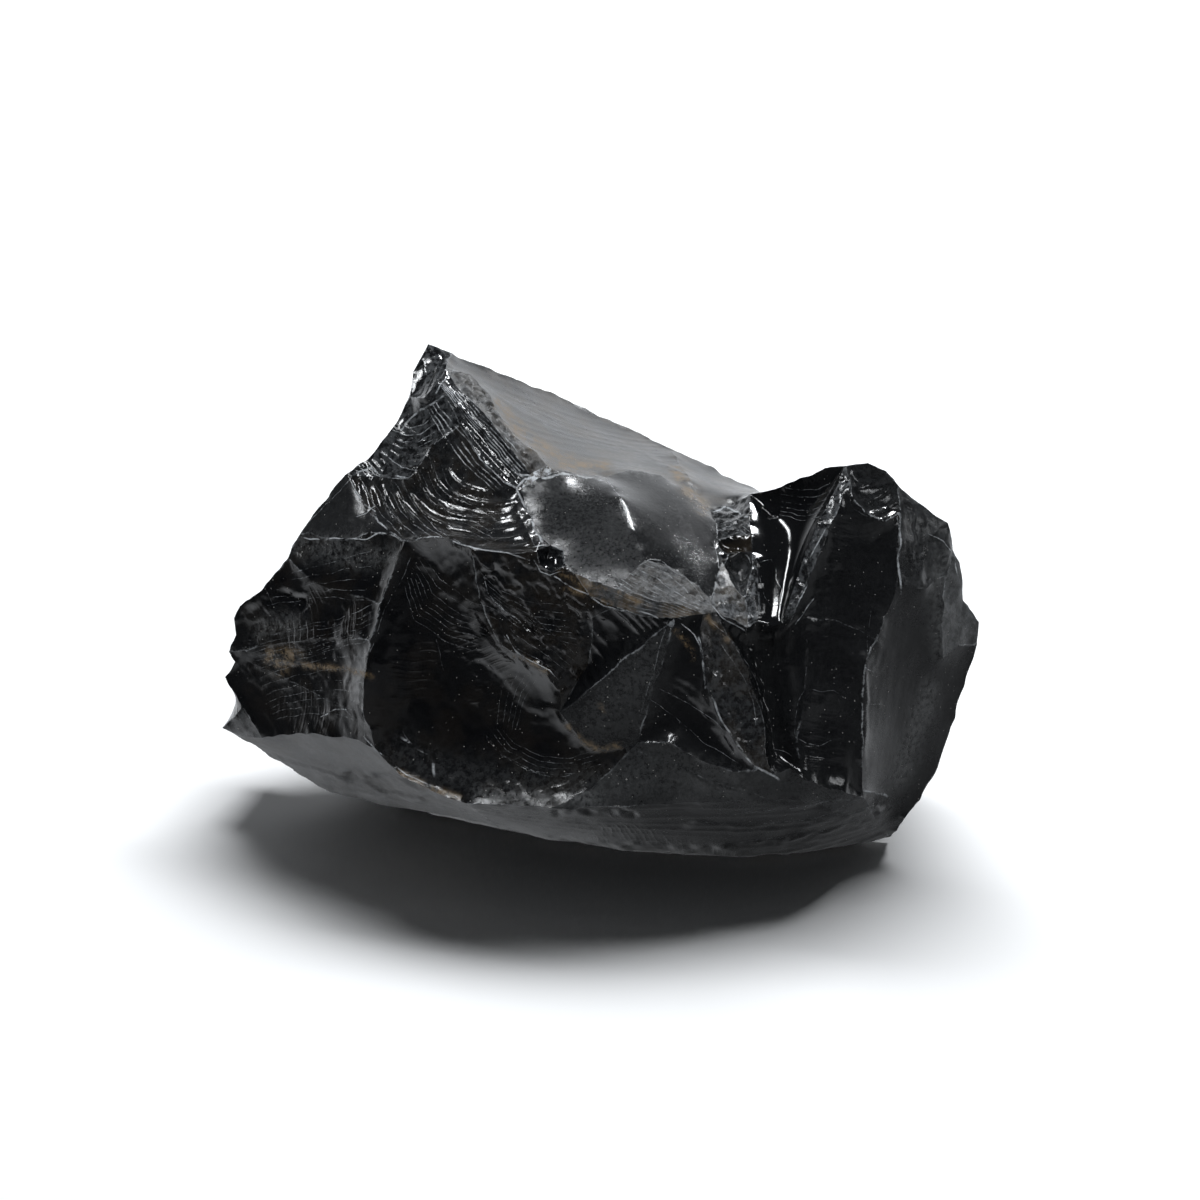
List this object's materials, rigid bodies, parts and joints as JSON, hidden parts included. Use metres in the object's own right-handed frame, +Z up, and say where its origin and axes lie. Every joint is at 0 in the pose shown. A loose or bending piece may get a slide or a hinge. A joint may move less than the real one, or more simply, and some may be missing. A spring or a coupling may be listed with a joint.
{
  "type": "obsidian chunk",
  "caption": "Rough chunk of black obsidian: a sharp peak at one end, a rounded lobe at the other, glassy shell-shaped fracture scars and a flat face to rest on.",
  "frame": {"origin": "middle of the chunk's footprint box, on the flat face that it rests on", "axes": "+X along the chunk's length, from the peak's end to the lobe's end; +Y from the scarred front to the far side; +Z up"},
  "size_m": [0.1516, 0.0952, 0.0965],
  "materials": {
    "obsidian": "opaque black volcanic glass, glossy on the fresh scars, satin on the old faces, dusty and ochre-stained on the rough breaks"
  },
  "bodies": {
    "root": {"obsidian_chunk": "obsidian"}
  },
  "joints": []
}
